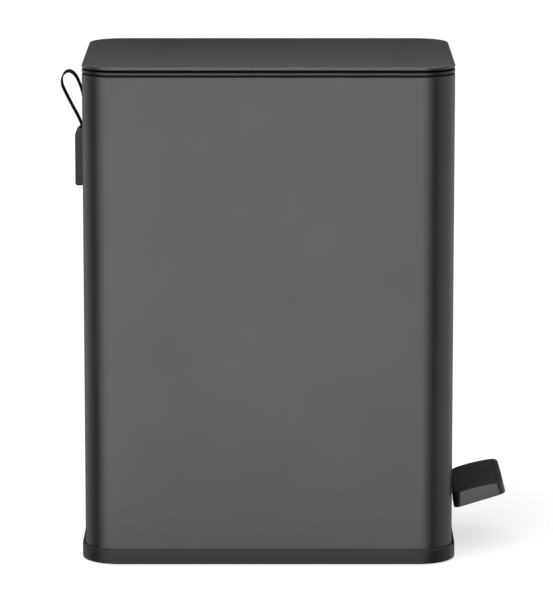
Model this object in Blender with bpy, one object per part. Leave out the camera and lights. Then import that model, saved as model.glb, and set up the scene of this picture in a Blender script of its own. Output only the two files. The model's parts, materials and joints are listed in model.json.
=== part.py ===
"""Rectangular pedal trash can, about 36 litres, modelled piece by piece.

Metres, +Z up. The pedal is at +X, the hinge and the carry strap at -X. Every piece is drawn in the can's own
coordinates, X and Y from the middle of the body and Z from the floor. The empty "can" then moves all of it
along X, so that the world origin is the bottom centre of the whole object's box.
"""

from math import cos, pi, radians, sin, sqrt, tan

import bmesh
import bpy
from mathutils import Vector

# ---- driving dimensions -------------------------------------------------------------------------------------
BODY_LENGTH = 0.400  # X, front to back
BODY_WIDTH = 0.260  # Y
BODY_RADIUS = 0.037  # vertical corners
BODY_TOP = 0.5323
SHEET = 0.0008  # painted steel sheet
GAP = 0.0003  # between pieces that touch

BASE_FLARE = 0.0032  # how far the base stands proud of the body
BASE_TOP = 0.0165
BASE_BOTTOM = 0.0008
FLOOR_TOP = 0.008  # upper face of the base's floor
FLOOR_BOTTOM = 0.005

COLLAR_TOP = 0.5380
COLLAR_LIP = 0.5342  # underside of the lip that shows above the body
LEDGE_TOP = 0.5315  # the bucket hangs on this ledge
LEDGE_BOTTOM = 0.5295

LID_TOP = 0.5432
LID_BOTTOM = 0.5390
LINER_EDGE = 0.5397  # underside of the liner's edge, above the rim
LINER_PANEL = 0.5375  # underside of the liner's dropped panel

LID_OPEN = radians(76)
PEDAL_TRAVEL = radians(10)
HINGE_X = -0.1986
HINGE_Z = 0.535
HINGE_HALF = 0.050  # half the hinge's length along Y
PIVOT_X = -0.020
PIVOT_Z = 0.026

PAD_CENTRE = (0.2300, 0.0618)  # X and Z
PAD_TILT = radians(17.2)
PAD_LENGTH = 0.0595
PAD_WIDTH = 0.116
PAD_THICK = 0.0172
PAD_TAPER = 0.0013  # how much the pad's top rises towards its inner end, and drops towards its outer end
PAD_CORNER = 0.0085

STRAP_WIDTH = 0.020
STRAP_THICK = 0.0018

ROD_RADIUS = 0.002
CORNER_STEPS = 7  # facets of a rounded corner

# ---- worked out from them -----------------------------------------------------------------------------------
# The crank swings equally far below and above the level of the hinge, and the lever's rear arm likewise, so
# the rod between them rises by the same amount at both ends and stays upright.
HALF_SWING = LID_OPEN / 2
HALF_TRAVEL = PEDAL_TRAVEL / 2
CRANK_RADIUS = ((PIVOT_X - HINGE_X) * tan(HALF_TRAVEL)) / (
    sin(HALF_SWING) + cos(HALF_SWING) * tan(HALF_TRAVEL)
)
ROD_X = HINGE_X + CRANK_RADIUS * cos(HALF_SWING)
ROD_TOP_Z = HINGE_Z - CRANK_RADIUS * sin(HALF_SWING)
LEVER_REAR_Z = PIVOT_Z - (PIVOT_X - ROD_X) * tan(HALF_TRAVEL)

WALL_X = -BODY_LENGTH / 2  # outer face of the rear wall
FRONT_X = BODY_LENGTH / 2
INNER_X = WALL_X + SHEET  # inner face of the rear wall


# ---- materials ----------------------------------------------------------------------------------------------
def make_material(name, colour, roughness, metallic=0.0):
    material = bpy.data.materials.new(name)
    material.use_nodes = True
    shader = material.node_tree.nodes["Principled BSDF"]
    shader.inputs["Base Color"].default_value = (*colour, 1.0)
    shader.inputs["Roughness"].default_value = roughness
    shader.inputs["Metallic"].default_value = metallic
    material.diffuse_color = (*colour, 1.0)
    return material


# ---- mesh helpers -------------------------------------------------------------------------------------------
def rounded_rectangle(length, width, radius, centre=(0.0, 0.0)):
    """Points of a rounded rectangle, counter-clockwise seen from above."""
    points = []
    for side_x, side_y, start in ((1, 1, 0), (-1, 1, 90), (-1, -1, 180), (1, -1, 270)):
        middle_x = centre[0] + side_x * (length / 2 - radius)
        middle_y = centre[1] + side_y * (width / 2 - radius)
        for step in range(CORNER_STEPS + 1):
            angle = radians(start + 90 * step / CORNER_STEPS)
            points.append((middle_x + radius * cos(angle), middle_y + radius * sin(angle)))
    return points


def body_loop(inset, height):
    """The body's outline, moved inwards by inset, at a height."""
    outline = rounded_rectangle(BODY_LENGTH - 2 * inset, BODY_WIDTH - 2 * inset, BODY_RADIUS - inset)
    return [(x, y, height) for x, y in outline]


def box_loop(low, high, radius, height):
    """A rounded rectangle between two corners, at a height."""
    centre = ((low[0] + high[0]) / 2, (low[1] + high[1]) / 2)
    outline = rounded_rectangle(high[0] - low[0], high[1] - low[1], radius, centre)
    return [(x, y, height) for x, y in outline]


def circle_loop(centre, axis, along, radius, steps):
    """A circle round an axis through centre, at a distance along it."""
    points = []
    for step in range(steps):
        angle = 2 * pi * step / steps
        across = (radius * cos(angle), radius * sin(angle))
        point = {
            "X": (along, *across),
            "Y": (across[1], along, across[0]),
            "Z": (*across, along),
        }[axis]
        points.append(tuple(Vector(centre) + Vector(point)))
    return points


def loft(name, loops, closed=False):
    """A mesh through loops of equally many points, capped unless it closes back to its first loop."""
    work = bmesh.new()
    rows = [[work.verts.new(point) for point in loop] for loop in loops]
    pairs = list(zip(rows, rows[1:]))
    if closed:
        pairs.append((rows[-1], rows[0]))
    else:
        work.faces.new(rows[0])
        work.faces.new(rows[-1])
    for one, two in pairs:
        for index in range(len(one)):
            after = (index + 1) % len(one)
            work.faces.new((one[index], one[after], two[after], two[index]))
    bmesh.ops.recalc_face_normals(work, faces=work.faces)
    mesh = bpy.data.meshes.new(name)
    work.to_mesh(mesh)
    work.free()
    mesh.shade_smooth()
    mesh.set_sharp_from_angle(angle=radians(32))
    return mesh


def prism(name, outline, axis, low, high):
    """An outline extruded along an axis. The outline gives the other two coordinates, in X, Y, Z order."""
    order = {
        "X": lambda a, b, along: (along, a, b),
        "Y": lambda a, b, along: (a, along, b),
        "Z": lambda a, b, along: (a, b, along),
    }[axis]
    return loft(name, [[order(a, b, along) for a, b in outline] for along in (low, high)])


def block(name, low, high):
    """A box between two corners."""
    outline = ((low[0], low[1]), (high[0], low[1]), (high[0], high[1]), (low[0], high[1]))
    return prism(name, outline, "Z", low[2], high[2])


def turned(name, centre, axis, profile, closed=False, steps=16):
    """A turned piece. The profile lists (radius, distance along the axis)."""
    return loft(name, [circle_loop(centre, axis, along, radius, steps) for radius, along in profile], closed)


def bar(name, centre, axis, radius, low, high, steps=16):
    return turned(name, centre, axis, ((radius, low), (radius, high)), steps=steps)


def ribbon(centreline, thickness):
    """The outline of a strip of even thickness round a centreline of two-dimensional points."""
    left, right = [], []
    last = len(centreline) - 1
    for index, (a, b) in enumerate(centreline):
        before = centreline[max(index - 1, 0)]
        after = centreline[min(index + 1, last)]
        run = (after[0] - before[0], after[1] - before[1])
        size = sqrt(run[0] ** 2 + run[1] ** 2)
        across = (-run[1] / size * thickness / 2, run[0] / size * thickness / 2)
        left.append((a + across[0], b + across[1]))
        right.append((a - across[0], b - across[1]))
    return left + right[::-1]


def smooth_path(knots, spacing):
    """Points along a Catmull-Rom curve through knots, about spacing apart."""
    knots = [Vector(knot) for knot in knots]
    ends = [2 * knots[0] - knots[1], *knots, 2 * knots[-1] - knots[-2]]
    points = []
    for a, b, c, d in zip(ends, ends[1:], ends[2:], ends[3:]):
        steps = max(1, round((c - b).length / spacing))
        for step in range(steps):
            t = step / steps
            bend = (2 * a - 5 * b + 4 * c - d) * t**2 + (3 * b - a - 3 * c + d) * t**3
            points.append(tuple(b + (c - a) * t / 2 + bend / 2))
    return [*points, tuple(knots[-1])]


# ---- scene helpers ------------------------------------------------------------------------------------------
class Can:
    """The empties that the pieces hang on, and the materials they are made of."""

    def __init__(self):
        self.origin = self.empty("can", (0, 0, 0), None)
        self.lid = self.empty("lid_hinge_axis", (HINGE_X, 0, HINGE_Z), self.origin)
        self.pedal = self.empty("pedal_pivot_axis", (PIVOT_X, 0, PIVOT_Z), self.origin)
        self.rod = self.empty("rod_slide_axis", (ROD_X, 0, 0), self.origin)
        self.steel = make_material("painted_steel", (0.105, 0.105, 0.108), 0.38, 0.6)
        self.black = make_material("black_plastic", (0.030, 0.030, 0.031), 0.42)
        self.grey = make_material("grey_plastic", (0.16, 0.16, 0.165), 0.55)
        self.rubber = make_material("rubber", (0.018, 0.018, 0.018), 0.8)
        self.zinc = make_material("zinc_steel", (0.55, 0.55, 0.54), 0.35, 1.0)
        self.webbing = make_material("webbing", (0.010, 0.010, 0.010), 0.7)

    def empty(self, name, place, parent):
        empty = bpy.data.objects.new(name, None)
        empty.location = place
        empty.parent = parent
        bpy.context.scene.collection.objects.link(empty)
        return empty

    def add(self, mesh, material, body=None):
        """A piece whose mesh is in the can's coordinates, hung on the empty of its body."""
        piece = bpy.data.objects.new(mesh.name, mesh)
        piece.parent = body or self.origin
        if body:
            piece.location = -body.location
        piece.data.materials.append(material)
        bpy.context.scene.collection.objects.link(piece)
        return piece

    def helper(self, mesh, body):
        tool = self.add(mesh, self.grey, body)
        tool.hide_render = True
        tool.display_type = "WIRE"
        return tool

    def combine(self, piece, operation, meshes):
        body = None if piece.parent is self.origin else piece.parent
        for mesh in meshes:
            modifier = piece.modifiers.new(mesh.name, "BOOLEAN")
            modifier.operation = operation
            modifier.solver = "EXACT"
            modifier.object = self.helper(mesh, body)

    def cut(self, piece, *meshes):
        self.combine(piece, "DIFFERENCE", meshes)

    def join(self, piece, *meshes):
        self.combine(piece, "UNION", meshes)


def screw(name, centre, axis, head_side, shank, head_radius=0.0036, head_height=0.0022, radius=0.0015):
    """A pan-head screw. centre is where head and shank meet; head_side is +1 or -1 along the axis."""
    profile = (
        (0.0007, head_side * head_height),
        (head_radius * 0.75, head_side * head_height),
        (head_radius, head_side * head_height * 0.45),
        (head_radius, 0.0),
        (radius, 0.0),
        (radius, -head_side * shank),
    )
    return turned(name, centre, axis, profile, steps=12)


# ---- outer shells -------------------------------------------------------------------------------------------
SLOT_HALF = 0.014  # half the width of the slot that the pedal lever moves in
SLOT_TOP = 0.057
SLOT_BOTTOM = 0.0095
NOTCH_HALF = HINGE_HALF + 0.002  # half the width of the gap in the rim that the hinge sits in


def body_shell(can):
    """The folded steel tube, open at both ends, with the pedal's slot and the rear wall's rivet holes."""
    profile = ((0, 0.0083), (0, BODY_TOP - 0.0006), (0.0002, BODY_TOP), (SHEET, BODY_TOP), (SHEET, 0.0083))
    shell = can.add(loft("body_shell", [body_loop(*p) for p in profile], closed=True), can.steel)
    slot_low, slot_high = (FRONT_X - 0.005, -SLOT_HALF, 0.004), (FRONT_X + 0.005, SLOT_HALF, SLOT_TOP)
    can.cut(shell, block("pedal_slot_cutter", slot_low, slot_high))
    holes = [(y, z, RIVET_HOLE) for y, z in HINGE_RIVETS + DAMPER_RIVETS + GUIDE_RIVETS]
    holes += [(0.0, z, SCREW_HOLE) for z in ANCHOR_SCREWS]
    for number, (y, z, radius) in enumerate(holes):
        can.cut(shell, bar(f"wall_hole_cutter_{number}", (WALL_X, y, z), "X", radius, -0.004, 0.004, 12))
    return shell


def base_tray(can):
    """The moulded base: a proud rim outside the body, a rib inside it, and a floor across."""
    profile = (
        (0.009, FLOOR_BOTTOM),
        (0.006, BASE_BOTTOM),
        (-BASE_FLARE + 0.0012, BASE_BOTTOM),
        (-BASE_FLARE, BASE_BOTTOM + 0.0012),
        (-BASE_FLARE, BASE_TOP - 0.0010),
        (-BASE_FLARE + 0.0008, BASE_TOP),
        (-GAP, BASE_TOP),
        (-GAP, FLOOR_TOP),
        (SHEET + GAP, FLOOR_TOP),
        (SHEET + GAP, 0.026),
        (SHEET + GAP + 0.002, 0.026),
        (SHEET + GAP + 0.002, FLOOR_TOP),
    )
    tray = can.add(loft("base_tray", [body_loop(*p) for p in profile]), can.black)
    slot_low, slot_high = (FRONT_X - 0.012, -SLOT_HALF, SLOT_BOTTOM), (FRONT_X + 0.010, SLOT_HALF, 0.030)
    can.cut(
        tray,
        block("base_slot_cutter", slot_low, slot_high),
        block("rod_well_cutter", (ROD_X - 0.009, -0.009, 0.000), (ROD_X + 0.009, 0.009, 0.012)),
    )
    for name, x, y in floor_screw_places():
        can.cut(tray, bar(f"{name}_hole", (x, y, FLOOR_TOP), "Z", SCREW_HOLE, -0.006, 0.004, 12))
    return tray


def feet(can):
    """Four rubber pads under the base's floor."""
    for end, x in (("front", 0.160), ("rear", -0.160)):
        for side, y in (("left", 0.090), ("right", -0.090)):
            profile = ((0.0095, 0.0), (0.011, 0.0012), (0.011, FLOOR_BOTTOM - GAP))
            can.add(turned(f"foot_{end}_{side}", (x, y, 0), "Z", profile), can.rubber)


def rim_collar(can):
    """The moulded rim: a lip above the body, a skirt inside it, and a ledge that the bucket hangs on."""
    profile = (
        (0.0013, 0.516),
        (0.0013, COLLAR_LIP),
        (0.0, COLLAR_LIP),
        (0.0, COLLAR_TOP - 0.0006),
        (0.0006, COLLAR_TOP),
        (0.0055, COLLAR_TOP),
        (0.0055, LEDGE_TOP),
        (0.0130, LEDGE_TOP),
        (0.0130, LEDGE_BOTTOM),
        (0.0033, LEDGE_BOTTOM),
        (0.0033, 0.516),
    )
    collar = can.add(loft("rim_collar", [body_loop(*p) for p in profile], closed=True), can.black)
    # the web over the mechanism's space behind the bucket
    edge = ((WALL_X + 0.012, 0.110), (WALL_X + 0.019, 0.1185), (WEB_FRONT, 0.1185))
    web = [(x, -y) for x, y in edge] + list(reversed(edge))
    can.join(collar, prism("rim_web", web, "Z", LEDGE_BOTTOM, LEDGE_TOP))
    notch_low, notch_high = (WALL_X - 0.01, -NOTCH_HALF, 0.51), (WALL_X + 0.0062, NOTCH_HALF, 0.545)
    can.cut(
        collar,
        block("collar_notch_cutter", notch_low, notch_high),
        block("crank_slot_cutter", (WALL_X + 0.004, -0.007, 0.52), (ROD_X + 0.0112, 0.014, 0.54)),
    )
    for name, x, y in BUMPER_PLACES:
        can.cut(collar, bar(f"{name}_seat", (x, y, COLLAR_TOP), "Z", 0.0016 + GAP, -0.0025, 0.002, 10))


WEB_FRONT = -0.167  # front edge of the rim's web, where the bucket's opening starts
BUMPER_PLACES = (
    ("lid_bumper_left", FRONT_X - 0.0034, 0.070),
    ("lid_bumper_right", FRONT_X - 0.0034, -0.070),
)


def lid_bumpers(can):
    """Soft studs in the rim that the lid lands on."""
    for name, x, y in BUMPER_PLACES:
        profile = ((0.0013, -0.0021), (0.0013, GAP), (0.0017, GAP), (0.0017, 0.0010), (0.0011, 0.0014))
        can.add(turned(name, (x, y, COLLAR_TOP), "Z", profile, steps=10), can.rubber)


BUCKET_REAR = -0.170  # the flange's rear edge
BUCKET_FRONT = 0.192
BUCKET_HALF = 0.1225
BUCKET_FLANGE = 0.0075
BUCKET_BOTTOM = 0.072
BUCKET_DRAFT = 0.006
BUCKET_WALL = 0.0018
GRIP_LENGTH = 0.095  # the hand holes in the bucket's long sides
GRIP_BOTTOM = 0.488
GRIP_TOP = 0.514


def bucket_loop(inset, height):
    low = (BUCKET_REAR + inset, -BUCKET_HALF + inset)
    high = (BUCKET_FRONT - inset, BUCKET_HALF - inset)
    return box_loop(low, high, 0.034 - inset, height)


def inner_bucket(can):
    """The lift-out bucket: tapered walls, a rounded foot and a flange that rests on the rim's ledge."""
    flange_bottom = LEDGE_TOP + GAP
    flange_top = flange_bottom + 0.002
    outer_foot = BUCKET_FLANGE + BUCKET_DRAFT
    profile = (
        (outer_foot + 0.006, BUCKET_BOTTOM),
        (outer_foot + 0.0015, BUCKET_BOTTOM + 0.002),
        (outer_foot, BUCKET_BOTTOM + 0.008),
        (BUCKET_FLANGE, flange_bottom),
        (0.0, flange_bottom),
        (0.0, flange_top),
        (BUCKET_FLANGE + BUCKET_WALL - 0.001, flange_top),
        (BUCKET_FLANGE + BUCKET_WALL, flange_top - 0.001),
        (outer_foot + BUCKET_WALL, BUCKET_BOTTOM + 0.009),
        (outer_foot + BUCKET_WALL + 0.005, BUCKET_BOTTOM + 0.0022),
    )
    bucket = can.add(loft("inner_bucket", [bucket_loop(*p) for p in profile]), can.grey)
    middle = (BUCKET_REAR + BUCKET_FRONT) / 2
    low, high = (middle - GRIP_LENGTH / 2, GRIP_BOTTOM), (middle + GRIP_LENGTH / 2, GRIP_TOP)
    grip = [(x, z) for x, z, _ in box_loop(low, high, 0.010, 0.0)]
    can.cut(bucket, prism("grip_cutter", grip, "Y", -BUCKET_HALF, BUCKET_HALF))


# ---- lid ----------------------------------------------------------------------------------------------------
def lid_loop(inset, height):
    return body_loop(inset - 0.0002, height)


def lid_shell(can):
    """The pressed steel lid: a shallow pan whose edge is rolled under, open underneath."""
    edge = 0.0021
    hem = 0.0013  # how far the edge comes back in underneath
    fold = LID_TOP - edge - LID_BOTTOM
    turns = [radians(angle) for angle in (60, 30, 0)]
    under = [(hem * (1 - cos(a)), LID_TOP - edge - fold * sin(a)) for a in turns]
    turns = [radians(22.5 * step) for step in range(1, 5)]
    over = [(edge * (1 - cos(a)), LID_TOP - edge * (1 - sin(a))) for a in turns]
    profile = (
        (edge + 0.001, LID_TOP - SHEET),
        (SHEET + 0.0004, LID_TOP - edge),
        (SHEET + 0.0004, LID_TOP - edge - 0.0008),
        (hem, LID_BOTTOM + 0.0004),
        (hem, LID_BOTTOM),
        *under,
        *over,
        (0.030, LID_TOP + 0.0002),
    )
    can.add(loft("lid_shell", [lid_loop(*p) for p in profile]), can.steel, can.lid)


def lid_liner(can):
    """The moulded inside of the lid, with a dropped panel and a short skirt that closes over the bucket."""
    top = LID_TOP - SHEET - GAP
    profile = (
        (0.0175, LINER_PANEL),
        (0.0160, LINER_PANEL),
        (0.0160, 0.5343),
        (0.0142, 0.5343),
        (0.0140, LINER_EDGE),
        (0.0020, LINER_EDGE),
        (0.0020, LID_TOP - 0.0029),
        (0.0042, top),
        (0.0300, top),
    )
    liner = can.add(loft("lid_liner", [lid_loop(*p) for p in profile]), can.black, can.lid)
    gap_low, gap_high = (WALL_X + 0.010, -0.040, 0.53), (WALL_X + 0.0185, 0.040, LINER_PANEL + 0.0001)
    can.cut(liner, block("skirt_gap_cutter", gap_low, gap_high))
    for name, x, y in LID_SCREWS:
        can.cut(liner, bar(f"{name}_hole", (x, y, LINER_PANEL), "Z", SCREW_HOLE, -0.002, 0.0042, 12))


LID_SCREWS = tuple(
    (f"lid_screw_{number + 1}", x, y) for number, (x, y) in enumerate(((-0.1505, -0.024), (-0.1505, 0.024)))
)
SCREW_HOLE = 0.0015 + GAP
LEAF = 0.0015  # thickness of the hinge's two leaves
KNUCKLE_RADIUS = 0.0022
PIN_RADIUS = 0.0011
LID_KNUCKLES = ((-0.0295, -0.0105), (0.0105, 0.0295))
BODY_KNUCKLES = ((-HINGE_HALF, -0.0305), (-0.0095, 0.0095), (0.0305, HINGE_HALF))
CRANK_LOW = 0.0050  # the crank's place along Y, beside the rod
CRANK_HIGH = 0.0070


def lid_bracket(can):
    """The lid's hinge leaf with its knuckles, and the slotted crank that the rod pushes."""
    top = HINGE_Z + KNUCKLE_RADIUS
    low = (WALL_X + 0.0040, -0.038, top - LEAF)
    bracket = can.add(block("lid_bracket", low, (-0.142, 0.038, top)), can.zinc, can.lid)
    for number, (start, end) in enumerate(LID_KNUCKLES):
        tab = block(f"lid_leaf_tab_{number}", (HINGE_X, start, top - LEAF), (WALL_X + 0.005, end, top))
        knuckle = bar(f"lid_knuckle_{number}", (HINGE_X, 0, HINGE_Z), "Y", KNUCKLE_RADIUS, start, end)
        can.join(bracket, tab, knuckle)
    can.join(bracket, prism("crank_arm", crank_outline(top - 0.0005), "Y", CRANK_LOW, CRANK_HIGH))
    can.cut(bracket, bar("lid_pin_bore", (HINGE_X, 0, HINGE_Z), "Y", PIN_RADIUS + GAP, -0.06, 0.06, 12))
    can.cut(bracket, prism("crank_slot", crank_slot_outline(), "Y", CRANK_LOW - 0.002, CRANK_HIGH + 0.002))
    for name, x, y in LID_SCREWS:
        can.cut(bracket, bar(f"{name}_leaf_hole", (x, y, top), "Z", SCREW_HOLE, -0.004, 0.004, 12))


def on_crank(along, across):
    """X and Z of a point given along and across the crank, at rest."""
    return (
        HINGE_X + along * cos(HALF_SWING) + across * sin(HALF_SWING),
        HINGE_Z - along * sin(HALF_SWING) + across * cos(HALF_SWING),
    )


def round_end(middle, start, radius, steps=8):
    """Half a circle on the crank's line."""
    angles = [radians(start + 180 * step / steps) for step in range(steps + 1)]
    return [on_crank(middle + radius * cos(a), radius * sin(a)) for a in angles]


def crank_slot_outline():
    """The slot in the crank, round the path that the rod's end takes in it as the lid opens."""
    half = ROD_RADIUS + 0.0013
    return round_end(CRANK_RADIUS, -90, half) + round_end(CRANK_RADIUS * cos(HALF_SWING), 90, half)


def crank_outline(top):
    """The crank's side outline, from the leaf down to its rounded end."""
    half = ROD_RADIUS + 0.0037
    rounded = round_end(CRANK_RADIUS, -90, half)
    return [(HINGE_X + 0.0060, top), on_crank(0.0115, -half), *rounded, (ROD_X + 0.0090, top)]


def lid_screws(can):
    for name, x, y in LID_SCREWS:
        under = HINGE_Z + KNUCKLE_RADIUS - LEAF - GAP
        can.add(screw(name, (x, y, under), "Z", -1, 0.0050), can.zinc, can.lid)


# ---- hinge --------------------------------------------------------------------------------------------------
RIVET_RADIUS = 0.0018
RIVET_HOLE = RIVET_RADIUS + GAP
HINGE_RIVETS = tuple((y, z) for z in (0.487, 0.514) for y in (-0.036, 0.036))
DAMPER_RIVETS = ((0.018, 0.317), (0.018, 0.387))
GUIDE_RIVETS = ((0.0, 0.142), (0.0, 0.282))
PLATE_BACK = INNER_X + GAP  # plates on the inside of the rear wall start here


def plate_hole(name, y, z, radius):
    """A cutter for a hole through the plates on the inside of the rear wall."""
    return bar(name, (PLATE_BACK, y, z), "X", radius, -0.004, 0.006, 12)


def hinge_leaf(can):
    """The body's hinge leaf, on the inside of the rear wall, with its knuckles above the wall's top edge."""
    leaf_low, leaf_high = (PLATE_BACK, -HINGE_HALF, 0.476), (PLATE_BACK + LEAF, HINGE_HALF, 0.5285)
    leaf = can.add(block("hinge_leaf", leaf_low, leaf_high), can.zinc)
    for number, (start, end) in enumerate(BODY_KNUCKLES):
        tab_low, tab_high = (PLATE_BACK, start, 0.5275), (PLATE_BACK + LEAF, end, HINGE_Z)
        tab = block(f"body_leaf_tab_{number}", tab_low, tab_high)
        knuckle = bar(f"body_knuckle_{number}", (HINGE_X, 0, HINGE_Z), "Y", KNUCKLE_RADIUS, start, end)
        can.join(leaf, tab, knuckle)
    can.cut(leaf, bar("leaf_pin_bore", (HINGE_X, 0, HINGE_Z), "Y", PIN_RADIUS + GAP, -0.06, 0.06, 12))
    for number, (y, z) in enumerate(HINGE_RIVETS):
        can.cut(leaf, plate_hole(f"leaf_rivet_hole_{number}", y, z, RIVET_HOLE))


def hinge_pin(can):
    end, chamfer = HINGE_HALF + 0.0015, 0.0007
    tip = PIN_RADIUS * 0.6
    profile = ((tip, -end), (PIN_RADIUS, chamfer - end), (PIN_RADIUS, end - chamfer), (tip, end))
    can.add(turned("hinge_pin", (HINGE_X, 0, HINGE_Z), "Y", profile), can.zinc)


def rivet(name, y, z, inner_face):
    """A domed rivet through the rear wall, its head outside and its tail on inner_face."""
    outside, inside = WALL_X - GAP, inner_face + GAP
    profile = (
        (0.0012, outside - 0.0014),
        (0.0030, outside - 0.0010),
        (0.0038, outside),
        (RIVET_RADIUS, outside),
        (RIVET_RADIUS, inside),
        (0.0027, inside),
        (0.0024, inside + 0.0010),
    )
    return turned(name, (0, y, z), "X", profile, steps=12)


def rivets(can):
    for number, (y, z) in enumerate(HINGE_RIVETS):
        can.add(rivet(f"hinge_rivet_{number + 1}", y, z, PLATE_BACK + LEAF), can.steel)
    for number, (y, z) in enumerate(DAMPER_RIVETS):
        can.add(rivet(f"damper_rivet_{number + 1}", y, z, PLATE_BACK + LEAF), can.steel)
    for number, (y, z) in enumerate(GUIDE_RIVETS):
        can.add(rivet(f"guide_rivet_{number + 1}", y, z, PLATE_BACK + GUIDE_FLANGE), can.steel)


# ---- carry strap --------------------------------------------------------------------------------------------
ANCHOR_HALF = 0.017
ANCHOR_DEPTH = 0.0113
ANCHOR_BOTTOM = 0.3990
ANCHOR_TOP = 0.4620
ANCHOR_SCREWS = (0.412, 0.440)
BOSS_RADIUS = 0.0034
STRAP_END_Z = 0.430


def strap_centreline():
    """The strap's line in X and Z: up the wall, out and over in a leaf-shaped loop, and back down."""
    on_wall = WALL_X - GAP - STRAP_THICK / 2
    on_strap = on_wall - STRAP_THICK - GAP
    knots = (
        (on_wall, STRAP_END_Z),
        (on_wall, 0.450),
        (on_wall, 0.472),
        (on_wall - 0.0006, 0.486),
        (-0.2038, 0.4990),
        (-0.2065, 0.5082),
        (-0.2098, 0.5158),
        (-0.2138, 0.5208),
        (-0.2184, 0.5228),
        (-0.2230, 0.5208),
        (-0.2260, 0.5150),
        (-0.2258, 0.5082),
        (-0.2230, 0.5010),
        (-0.2156, 0.4862),
        (-0.2087, 0.4730),
        (-0.2054, 0.4650),
        (-0.2039, 0.4580),
        (on_strap - 0.0001, 0.4510),
        (on_strap, 0.4450),
        (on_strap, STRAP_END_Z),
    )
    return smooth_path(knots, 0.003)


def carry_strap(can):
    """A woven strap folded into a loop, both ends pierced for the anchor's upper boss."""
    outline = ribbon(strap_centreline(), STRAP_THICK)
    strap = can.add(prism("carry_strap", outline, "Y", -STRAP_WIDTH / 2, STRAP_WIDTH / 2), can.webbing)
    hole = bar("strap_hole", (WALL_X, 0, ANCHOR_SCREWS[1]), "X", BOSS_RADIUS + GAP, -0.008, 0.004, 14)
    can.cut(strap, hole)


def anchor_profile(inset):
    """The anchor's side outline in X and Z: a soft curve at the top and a small one at the bottom."""
    face = WALL_X - ANCHOR_DEPTH + inset
    top, bottom = ANCHOR_TOP - inset, ANCHOR_BOTTOM + inset
    curve_x, curve_z, corner = 0.0070 - inset / 2, 0.0085 - inset / 2, 0.0035 - inset / 2
    outline = [(WALL_X - GAP, bottom)]
    for step in range(5):
        angle = radians(90 * step / 4)
        outline.append((face + corner * (1 - sin(angle)), bottom + corner * (1 - cos(angle))))
    for step in range(7):
        angle = radians(90 * step / 6)
        outline.append((face + curve_x * (1 - cos(angle)), top - curve_z * (1 - sin(angle))))
    outline.append((WALL_X - GAP, top))
    return outline


def strap_anchor(can):
    """The hollow moulding over the strap's ends. Two bosses reach from its outer wall to the body."""
    wall = 0.002
    half = ANCHOR_HALF
    side = 0.0022
    outer = anchor_profile(0.0)
    middle = sum(z for _, z in outer) / len(outer)

    def narrowed(amount):
        """The outline shrunk a little towards its middle, for the rounded side edges."""
        beside_wall = WALL_X - 0.001
        return [(x + amount * (x < beside_wall), z + amount * (1 if z < middle else -1)) for x, z in outer]

    sections = ((-half, side * 0.75), (-half + side * 0.3, side * 0.25), (-half + side, 0.0))
    sections += tuple((-y, amount) for y, amount in reversed(sections))
    loops = [[(x, y, z) for x, z in narrowed(amount)] for y, amount in sections]
    anchor = can.add(loft("strap_anchor", loops), can.black)
    hollow = [(x + (0.01 if x > WALL_X - 0.001 else 0.0), z) for x, z in anchor_profile(wall)]
    can.cut(anchor, prism("anchor_hollow", hollow, "Y", -half + wall, half - wall))
    mouth = STRAP_WIDTH / 2 + 0.0006
    can.cut(anchor, block("strap_mouth", (WALL_X - 0.0067, -mouth, 0.454), (WALL_X + 0.01, mouth, 0.480)))
    for number, z in enumerate(ANCHOR_SCREWS):
        seat = (WALL_X, 0, z)
        can.join(anchor, bar(f"anchor_boss_{number}", seat, "X", BOSS_RADIUS, 0.001 - ANCHOR_DEPTH, -GAP, 14))
        can.cut(anchor, bar(f"anchor_pilot_{number}", seat, "X", SCREW_HOLE, -0.0085, 0.01, 12))


def anchor_plate(can):
    """The plate inside the wall that spreads the strap's load."""
    low = (PLATE_BACK, -0.014, ANCHOR_BOTTOM + 0.004)
    plate = can.add(block("anchor_plate", low, (PLATE_BACK + LEAF, 0.014, ANCHOR_TOP - 0.014)), can.zinc)
    for number, z in enumerate(ANCHOR_SCREWS):
        can.cut(plate, plate_hole(f"anchor_plate_hole_{number}", 0, z, SCREW_HOLE))
        seat = (PLATE_BACK + LEAF + GAP, 0, z)
        name = f"anchor_screw_{('lower', 'upper')[number]}"
        can.add(screw(name, seat, "X", 1, 0.0095), can.zinc)


# ---- pedal --------------------------------------------------------------------------------------------------
LEVER_HALF = 0.011
LEVER_THICK = 0.003
TUBE_RADIUS = 0.0065
TUBE_BORE = 0.0043
BUSH_OUTER = TUBE_BORE - GAP
BUSH_INNER = 0.0033
AXLE_RADIUS = 0.003
PAD_SCREWS = (-0.009, 0.009)  # along the pad's slope, from its middle
TREAD_RECESS = 0.0012


def pad_point(along, up):
    """X and Z of a point given in the pad's own tilted axes."""
    return (
        PAD_CENTRE[0] + along * cos(PAD_TILT) - up * sin(PAD_TILT),
        PAD_CENTRE[1] + along * sin(PAD_TILT) + up * cos(PAD_TILT),
    )


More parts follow.
